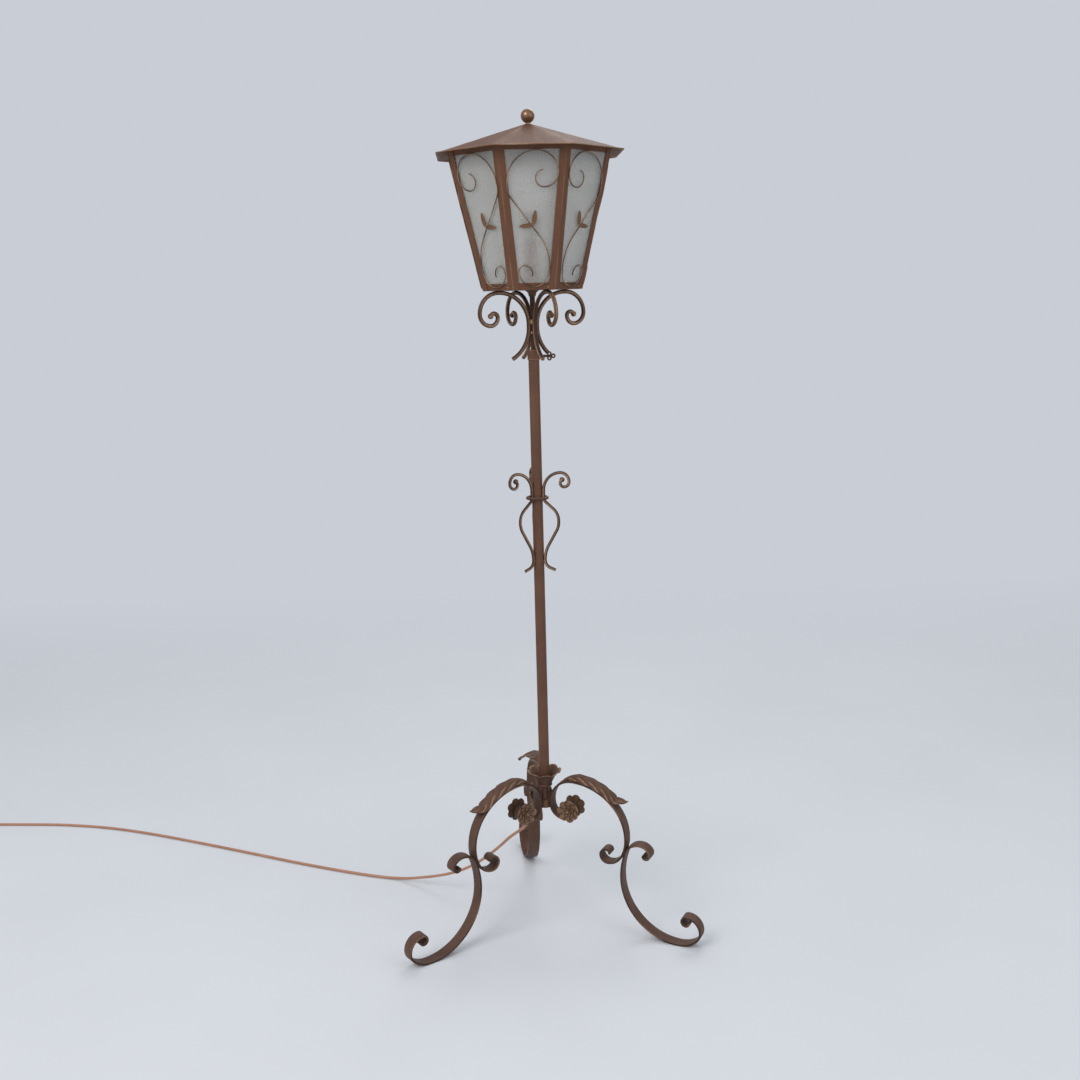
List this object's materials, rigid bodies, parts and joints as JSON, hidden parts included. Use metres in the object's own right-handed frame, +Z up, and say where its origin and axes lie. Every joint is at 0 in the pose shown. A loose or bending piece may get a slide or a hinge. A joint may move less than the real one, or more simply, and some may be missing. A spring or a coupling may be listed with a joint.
{
  "type": "lantern floor lamp",
  "caption": "Floor lamp: octagonal frosted lantern with pyramid roof on scroll brackets, tube pole with scroll ornament, tripod of scrolled straps with leaves and rosettes, cord.",
  "frame": {"origin": "On the pole's axis at floor level", "axes": "+Z up along the pole, +X to the right in the picture, +Y away from the camera"},
  "size_m": [1.8947, 0.8486, 1.6212],
  "materials": {
    "bronze": "brown hammered paint with rubbed edges",
    "gilt_bronze": "brown paint rubbed with gold",
    "brass": "plain turned",
    "frosted_glass": "frosted",
    "opal_glass": "opal",
    "sleeve": "matte brown",
    "dark_plastic": "moulded",
    "cord": "copper brown sheath",
    "plug": "moulded brown",
    "pins": "plated"
  },
  "bodies": {
    "stand": {"bridge_bar": "bronze", "bridge_nut": "brass", "top_ring": "bronze", "corner_posts": "bronze", "bottom_ring": "bronze", "lantern_floor": "bronze", "glass_pane_1": "frosted_glass", "glass_pane_2": "frosted_glass", "glass_pane_3": "frosted_glass", "glass_pane_4": "frosted_glass", "glass_pane_5": "frosted_glass", "glass_pane_6": "frosted_glass", "glass_pane_7": "frosted_glass", "glass_pane_8": "frosted_glass", "pane_scrolls": "gilt_bronze", "lampholder": "dark_plastic", "candle_sleeve": "sleeve", "floor_nut": "brass", "stem": "bronze", "stem_cup": "bronze", "bracket_1": "bronze", "bracket_2": "bronze", "bracket_3": "bronze", "bracket_4": "bronze", "collar": "bronze", "collar_nut": "brass", "switch_body": "dark_plastic", "pole": "bronze", "mid_ring": "bronze", "mid_scroll_1": "bronze", "mid_scroll_2": "bronze", "mid_scroll_3": "bronze", "leaf_cup": "bronze", "pole_plug": "brass", "hub_neck": "bronze", "hub_block": "bronze", "hub_tube": "brass", "upper_scroll_1": "bronze", "upper_scroll_2": "bronze", "upper_scroll_3": "bronze", "lower_scroll_1": "bronze", "lower_scroll_2": "bronze", "lower_scroll_3": "bronze", "acanthus_1": "bronze", "acanthus_2": "bronze", "acanthus_3": "bronze", "rosettes": "gilt_bronze", "rosette_pins": "bronze", "cord_grommet": "dark_plastic", "cord_run": "cord", "cord_coil": "cord", "plug_body": "plug", "plug_pins": "pins"},
    "roof": {"roof": "bronze"},
    "finial": {"finial_ball": "bronze", "finial_rod": "brass"},
    "bulb": {"bulb_glass": "opal_glass", "bulb_cap": "brass"},
    "key": {"switch_key": "gilt_bronze"}
  },
  "joints": [
    {"name": "roof_lift", "type": "slide", "parent": "stand", "child": "roof", "axis": [0, 0, 1], "range_m": [0, 0.15]},
    {"name": "finial_turn", "type": "hinge", "parent": "roof", "child": "finial", "pos_m": [0, 0, 1.6], "axis": [0, 0, 1], "continuous": true},
    {"name": "bulb_lift", "type": "slide", "parent": "stand", "child": "bulb", "axis": [0, 0, 1], "range_m": [0, 0.03]},
    {"name": "key_turn", "type": "hinge", "parent": "stand", "child": "key", "pos_m": [0.02, 0, 1.16535], "axis": [1, 0, 0], "continuous": true}
  ]
}
